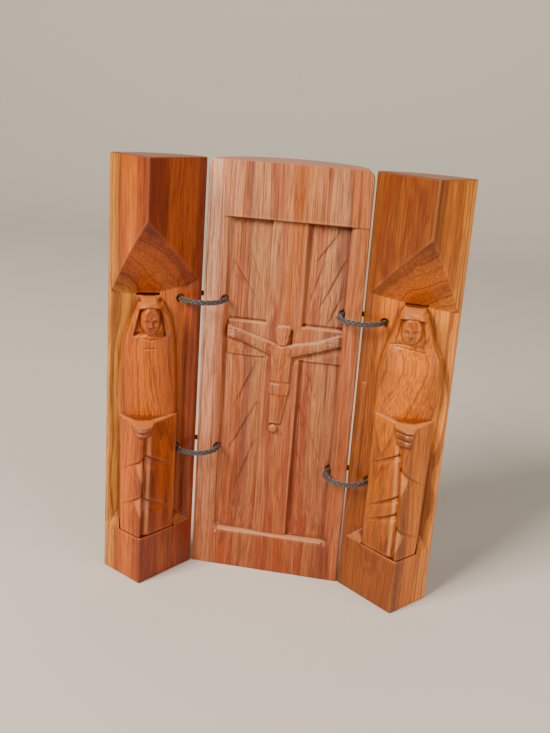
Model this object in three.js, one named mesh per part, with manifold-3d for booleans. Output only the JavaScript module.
// Pocket triptych carved from one round log: a half-log centre panel with a crucifix in low relief,
// and two quarter-log wings, each with a robed figure left standing on its ridge, tied by cord loops.
// Millimetres, +Z up, the front looks along -Y. The origin is the middle of the panel's underside.

import * as THREE from 'three';
import { mergeVertices } from 'three/addons/utils/BufferGeometryUtils.js';
import Module from 'manifold-3d';

const wasm = await Module();
wasm.setup();

// The log
const HEIGHT = 150;
const PANEL_WIDTH = 55.5;
const PANEL_DEPTH = 24;
const WING_FACE = 26; // flat that shuts against the panel, from the hinge edge to the ridge
const WING_DEPTH = 19.2; // flat that shuts against the other wing, from the ridge to the outer edge
const LOG_STEPS = 14; // facets on each quarter of the log's round
const SPARE = 5; // how far a cutter runs past the wood

// The hinges
const EDGE_GAP = 0.3; // between the panel's edge and a wing's hinge edge
const SHUT_GAP = 0.4; // between the panel's front and a shut wing
const LEFT_OPENING = 120; // degrees from shut
const RIGHT_OPENING = 141.5;
const LOOP_RADIUS = 7.8;
const CORD_RADIUS = 1;
const CHANNEL_RADIUS = 1.5;
const LOOP_HEIGHTS = { left: { upper: 102, lower: 47 }, right: { upper: 100.6, lower: 42.8 } };

// The centre panel's carving
const FRONT = -PANEL_DEPTH / 2;
const TOP_CORNER = 3.5;
const FIELD = { left: -19.2, right: 21.8, bottom: 14.6, top: 131 };
const CROSS = { left: -5.6, right: 7.4, bottom: 82.4, top: 95 }; // the upright's sides, the beam's edges
const CROSS_SUNK = 2;
const FIELD_SUNK = 3.6;
const LIP_RISE = 1.2; // how much the bottom lip slopes up towards the field
const BODY_MIDDLE = 0.9;

// The wings' carving, in each wing's own frame: s runs from the hinge edge to the outer edge, h stands
// forward of the line between those edges, and z is up
const CHORD = Math.hypot(WING_FACE, WING_DEPTH);
const RIDGE = { s: WING_FACE ** 2 / CHORD, h: (WING_FACE * WING_DEPTH) / CHORD };
const NICHE_FLOOR = 1.2;
const FOLD_DEPTH = 0.8;
const FOLD_WIDTH = 1.4;
const GROOVE = { s: 19.5, width: 2.4, depth: 1.5 };

const LEFT_FIGURE = {
  baseTop: 17.6,
  crease: 103.8,
  apex: 130,
  scoop: 1.5,
  ledge: 60.4,
  // the mantle's outline, up the hinge side and down the outer side
  mantle: [[8, 0], [7.8, 65], [9.4, 85], [11.4, 92.5], [12.9, 102.8],
    [22, 102.8], [23.8, 95.6], [26, 85.7], [26.9, 81.8], [28.2, 66], [27.5, 0]],
  breast: [[5.4, 0], [5.8, 72], [6.4, 86], [4.2, 94], [4.2, 102.8]],
  veil: [[12.7, 90.4], [15.4, 102.8], [22, 102.8], [23.2, 90.4]],
  veilHeight: 8.4,
  face: { s: 18.4, width: 6.4, bottom: 92.9, top: 101.2, h: 10 },
  folds: { hinge: [[16.4, 46.3, 8, 42], [16.8, 30.6, 7.6, 25.6]], outer: [[19.6, 46.4, 27.4, 42], [19.4, 33, 27.2, 28]] },
};
const RIGHT_FIGURE = {
  baseTop: 20,
  crease: 107.8,
  apex: 132,
  scoop: 0.5,
  ledge: 69,
  mantle: [[7.4, 0], [6.8, 68], [6.8, 83], [8.7, 90.5], [11, 97], [12.6, 107.2],
    [21.7, 107.2], [24, 97], [26.8, 91], [28.4, 79], [28, 67], [27.3, 0]],
  breast: [[5.2, 0], [5.8, 78], [6.8, 90], [6, 94.4], [4.4, 97], [4.4, 107.2]],
  veil: [[11.2, 94.2], [12.9, 107.2], [21.7, 107.2], [24.2, 94.2]],
  veilHeight: 8.2,
  face: { s: 18, width: 6.2, bottom: 96.6, top: 106, h: 9.8 },
  folds: {
    hinge: [[16.4, 55.6, 7.4, 51.2], [16.6, 40, 7.4, 35.4], [16.8, 34.4, 7.4, 30.4]],
    outer: [[20.2, 51.5, 27.6, 45.8], [19.8, 31.4, 27.4, 26.6]],
  },
};

// ---- solids ------------------------------------------------------------------------------------

function solid(geometry) {
  const bare = geometry.clone();
  bare.deleteAttribute('normal');
  bare.deleteAttribute('uv');
  const merged = mergeVertices(bare, 1e-4);
  const vertProperties = new Float32Array(merged.attributes.position.array);
  const triVerts = new Uint32Array(merged.index.array);
  return new wasm.Manifold(new wasm.Mesh({ numProp: 3, vertProperties, triVerts }));
}

function meshOf(shape, name, material) {
  const { vertProperties, triVerts } = shape.getMesh();
  const geometry = new THREE.BufferGeometry();
  geometry.setAttribute('position', new THREE.BufferAttribute(vertProperties, 3));
  geometry.setIndex(new THREE.BufferAttribute(triVerts, 1));
  geometry.computeVertexNormals();
  const mesh = new THREE.Mesh(geometry, material);
  mesh.name = name;
  return mesh;
}

function extruded(points, length) {
  const outline = new THREE.Shape(points.map(([x, y]) => new THREE.Vector2(x, y)));
  return new THREE.ExtrudeGeometry(outline, { depth: length, bevelEnabled: false, steps: 1 });
}

// An outline seen from above, [x, y], run up from one level to another
function upright(points, bottom, top) {
  return solid(extruded(points, top - bottom).translate(0, 0, bottom));
}

// An outline seen from the front, [x, z], run back from one depth to another
function facing(points, near, far) {
  return solid(extruded(points, far - near).rotateX(Math.PI / 2).translate(0, far, 0));
}

// An outline seen from the side, [y, z], run across from one x to another
function sideways(points, from, to) {
  const turn = new THREE.Matrix4().makeBasis(
    new THREE.Vector3(0, 1, 0), new THREE.Vector3(0, 0, 1), new THREE.Vector3(1, 0, 0));
  return solid(extruded(points, to - from).applyMatrix4(turn).translate(from, 0, 0));
}

function rectangle(left, right, bottom, top) {
  return [[left, bottom], [right, bottom], [right, top], [left, top]];
}

function ring(radius, thickness, x, y, z) {
  return new THREE.TorusGeometry(radius, thickness, 8, 48).translate(x, y, z);
}

function joined(shapes) {
  return shapes.reduce((sum, shape) => sum.add(shape));
}

// ---- centre panel ------------------------------------------------------------------------------

function panelBlock() {
  const half = PANEL_WIDTH / 2;
  const round = [];
  for (let step = 0; step <= 2 * LOG_STEPS; step += 1) {
    const angle = (Math.PI * step) / (2 * LOG_STEPS);
    round.push([half * Math.cos(angle), FRONT + PANEL_DEPTH * Math.sin(angle)]);
  }
  const face = [[-half, 0], [half, 0]];
  for (const side of [1, -1]) {
    for (let step = 0; step <= 4; step += 1) {
      const angle = (Math.PI / 8) * (side > 0 ? step : 4 - step);
      face.push([side * (half - TOP_CORNER * (1 - Math.cos(angle))), HEIGHT - TOP_CORNER * (1 - Math.sin(angle))]);
    }
  }
  return upright(round, 0, HEIGHT).intersect(facing(face, FRONT - SPARE, FRONT + PANEL_DEPTH + SPARE));
}

function sunkField() {
  const lip = [[FRONT - SPARE, FIELD.bottom], [FRONT, FIELD.bottom], [FRONT + FIELD_SUNK, FIELD.bottom + LIP_RISE],
    [FRONT + FIELD_SUNK, FIELD.top], [FRONT - SPARE, FIELD.top]];
  const sunk = sideways(lip, FIELD.left, FIELD.right);
  const stem = rectangle(CROSS.left, CROSS.right, 0, HEIGHT);
  const beam = rectangle(-PANEL_WIDTH, PANEL_WIDTH, CROSS.bottom, CROSS.top);
  const cross = [stem, beam].map((outline) => facing(outline, FRONT + CROSS_SUNK, FRONT + PANEL_DEPTH));
  return sunk.subtract(joined(cross));
}

function crucified() {
  const back = FRONT + CROSS_SUNK + 0.5;
  const raised = (points, sunk) => facing(points, FRONT + sunk, back);
  const wedge = (points, sunk, slope) => {
    const reach = 8;
    const plan = [[BODY_MIDDLE - reach, FRONT + sunk + slope * reach], [BODY_MIDDLE - 1, FRONT + sunk],
      [BODY_MIDDLE + 1, FRONT + sunk], [BODY_MIDDLE + reach, FRONT + sunk + slope * reach],
      [BODY_MIDDLE + reach, back + reach], [BODY_MIDDLE - reach, back + reach]];
    return raised(points, 0).intersect(upright(plan, 0, HEIGHT));
  };
  const leftArm = [[-19.2, 93], [-19.2, 89], [-13.6, 88], [-2.4, 82.6], [0, 86], [-2, 88]];
  const rightArm = [[21.4, 92.8], [21.4, 89.4], [12.6, 86.4], [4.2, 82.6], [1.8, 86], [3.6, 88], [14.4, 90.4]];
  const chest = [[-2.9, 84.4], [4.7, 84.4], [3.7, 76.4], [-1.3, 76.4]];
  const hips = [[-1.3, 76.6], [3.7, 76.6], [4.3, 74], [4.1, 71.8], [1.9, 59.6], [-2.2, 59.6], [-2.7, 71.8], [-2.5, 74]];
  const feet = [];
  for (let step = 0; step < 10; step += 1) {
    const angle = (Math.PI * step) / 5;
    feet.push([-0.4 + 1.6 * Math.cos(angle), 57.6 + 1.6 * Math.sin(angle)]);
  }
  return joined([
    raised(leftArm, 0.8), raised(rightArm, 0.8), wedge(chest, 0.5, 0.15), wedge(hips, 0.5, 0.2),
    raised(rectangle(-1.8, 3.5, 88.2, 94.2), 0.2), raised(rectangle(-0.3, 2, 83, 89), 0.7), raised(feet, 0.4),
  ]);
}

function channels(side, x, y) {
  const heights = side < 0 ? LOOP_HEIGHTS.left : LOOP_HEIGHTS.right;
  return joined(Object.values(heights).map((z) => solid(ring(LOOP_RADIUS, CHANNEL_RADIUS, x, y, z))));
}

const AXIS_X = PANEL_WIDTH / 2 + EDGE_GAP / 2;
const AXIS_Y = FRONT - SHUT_GAP / 2;

function centrePanel() {
  const carved = panelBlock().subtract(sunkField()).add(crucified());
  return carved.subtract(channels(-1, -AXIS_X, AXIS_Y)).subtract(channels(1, AXIS_X, AXIS_Y));
}

// ---- wings -------------------------------------------------------------------------------------

// A wing is carved looking straight at its niche: x is side * s and y is -h
function wing(side, figure) {
  const across = (points) => points.map(([s, z]) => [side * s, z]);
  const above = (points) => points.map(([s, h]) => [side * s, -h]);
  const front = (points, low, high) => facing(across(points), -high, -low);
  const along = (points) => sideways(points.map(([h, z]) => [-h, z]), -CHORD - SPARE, CHORD + SPARE);

  const quarter = [[0, 0], [RIDGE.s, RIDGE.h]];
  for (let step = 0; step < LOG_STEPS; step += 1) {
    const angle = (Math.PI / 2) * (1 - step / LOG_STEPS);
    const toHinge = (WING_FACE * Math.cos(angle)) / CHORD;
    const toOuter = (WING_DEPTH * Math.sin(angle)) / CHORD;
    quarter.push([RIDGE.s - WING_FACE * toHinge + WING_DEPTH * toOuter,
      RIDGE.h - WING_DEPTH * toHinge - WING_FACE * toOuter]);
  }
  const block = upright(above(quarter), 0, HEIGHT);

  // the niche, under a canopy scooped out of the ridge
  const hollow = [[NICHE_FLOOR, figure.baseTop], [NICHE_FLOOR, figure.crease]];
  for (let step = 1; step <= 5; step += 1) {
    const part = step / 5;
    hollow.push([NICHE_FLOOR + (RIDGE.h - NICHE_FLOOR) * part,
      figure.crease + (figure.apex - figure.crease) * part + figure.scoop * Math.sin(Math.PI * part)]);
  }
  hollow.push([RIDGE.h + SPARE, figure.apex], [RIDGE.h + SPARE, figure.baseTop]);
  const niche = along(hollow);

  // the figure: a skirt that keeps the ridge's two slopes, and a flatter mantle set back above it
  const skirtSection = (inset) => [[7.4 + inset, 0], [7.6 + inset, 4.6 - inset], [16.2, 10.6 - inset],
    [18.4, 11.4 - inset], [21.4, 11.5 - inset], [24, 9.8 - inset], [27.4 - inset, 4.8 - inset], [27.5 - inset, 0]];
  const ledgeCut = [[4.8, figure.ledge], [RIDGE.h + SPARE, figure.ledge - 3.6], [RIDGE.h + SPARE, HEIGHT], [4.8, HEIGHT]];
  const groove = [[GROOVE.s - GROOVE.width / 2, RIDGE.h], [GROOVE.s - GROOVE.width / 2, 11.6],
    [GROOVE.s, 11.6 - GROOVE.depth], [GROOVE.s + GROOVE.width / 2, 11.6], [GROOVE.s + GROOVE.width / 2, RIDGE.h]];
  const core = upright(above(skirtSection(FOLD_DEPTH)), 0, HEIGHT);
  const foldCuts = [...figure.folds.hinge, ...figure.folds.outer].map(([s0, z0, s1, z1]) => front(
    [[s0, z0], [s1, z1], [s1, z1 + 0.4], [s0, z0 + FOLD_WIDTH]], NICHE_FLOOR, RIDGE.h));
  const skirt = upright(above(skirtSection(0)), figure.baseTop - 1, figure.ledge)
    .subtract(along(ledgeCut))
    .subtract(upright(above(groove), figure.baseTop + 1, figure.ledge - 6))
    .subtract(joined(foldCuts).subtract(core));

  const low = figure.ledge - 2;
  const mantleOutline = figure.mantle.map(([s, z]) => [s, Math.max(z, low)]);
  const mantleProfile = [[0, low], ...figure.breast.map(([h, z]) => [h, Math.max(z, low)]), [0, figure.crease]];
  const mantleSection = [[6, 0], [7.2, 4.4], [11, 6.2], [17, 7], [23, 6.6], [27, 4.6], [29, 2.8], [29.4, 0]];
  const mantle = front(mantleOutline, 0, RIDGE.h)
    .intersect(along(mantleProfile))
    .intersect(upright(above(mantleSection), 0, HEIGHT));

  const { face } = figure;
  const half = face.width / 2;
  const faceSection = [[face.s - half, 0], [face.s - half, face.h - 1.4], [face.s - half * 0.5, face.h - 0.3],
    [face.s + half * 0.5, face.h - 0.3], [face.s + half, face.h - 1.4], [face.s + half, 0]];
  const head = upright(above(faceSection), face.bottom, face.top);
  const veil = front(figure.veil, 0, figure.veilHeight);
  const hands = front([[16.6, figure.ledge - 5.6], [16.6, figure.ledge - 1.8], [22.6, figure.ledge - 1.8],
    [22.6, figure.ledge - 5.6]], 0, 12.2);

  const carved = block.subtract(niche).add(joined([skirt, mantle, veil, head, hands]).intersect(block));
  return carved.subtract(channels(side, side * WING_AXIS.s, -WING_AXIS.h));
}

// The hinge axis in a wing's own frame, just off the hinge edge
const WING_AXIS = {
  s: (-WING_FACE * EDGE_GAP / 2 - WING_DEPTH * SHUT_GAP / 2) / CHORD,
  h: (-WING_DEPTH * EDGE_GAP / 2 + WING_FACE * SHUT_GAP / 2) / CHORD,
};

// A group on the hinge axis holds the wing, turned from shut to its opening
function hung(mesh, side, opening) {
  const shut = Math.PI + Math.atan2(WING_DEPTH, WING_FACE);
  const hinge = new THREE.Group();
  hinge.position.set(side * AXIS_X, AXIS_Y, 0);
  hinge.rotation.z = side * (shut + THREE.MathUtils.degToRad(opening));
  mesh.position.set(-side * WING_AXIS.s, WING_AXIS.h, 0);
  hinge.add(mesh);
  return hinge;
}

// ---- the object --------------------------------------------------------------------------------

const panelWood = new THREE.MeshStandardMaterial({ color: 0xb87858, roughness: 0.45, metalness: 0 });
const wingWood = new THREE.MeshStandardMaterial({ color: 0xb5621f, roughness: 0.4, metalness: 0 });
const cordFibre = new THREE.MeshStandardMaterial({ color: 0x2e2e2c, roughness: 0.6, metalness: 0 });

const triptych = new THREE.Group();
triptych.add(meshOf(centrePanel(), 'centre_panel', panelWood));
triptych.add(hung(meshOf(wing(-1, LEFT_FIGURE), 'left_wing', wingWood), -1, LEFT_OPENING));
triptych.add(hung(meshOf(wing(1, RIGHT_FIGURE), 'right_wing', wingWood), 1, RIGHT_OPENING));
for (const [side, heights] of Object.entries(LOOP_HEIGHTS)) {
  for (const [level, z] of Object.entries(heights)) {
    const x = side === 'left' ? -AXIS_X : AXIS_X;
    const loop = new THREE.Mesh(ring(LOOP_RADIUS, CORD_RADIUS, x, AXIS_Y, z), cordFibre);
    loop.name = `cord_loop_${side}_${level}`;
    triptych.add(loop);
  }
}

export default triptych;
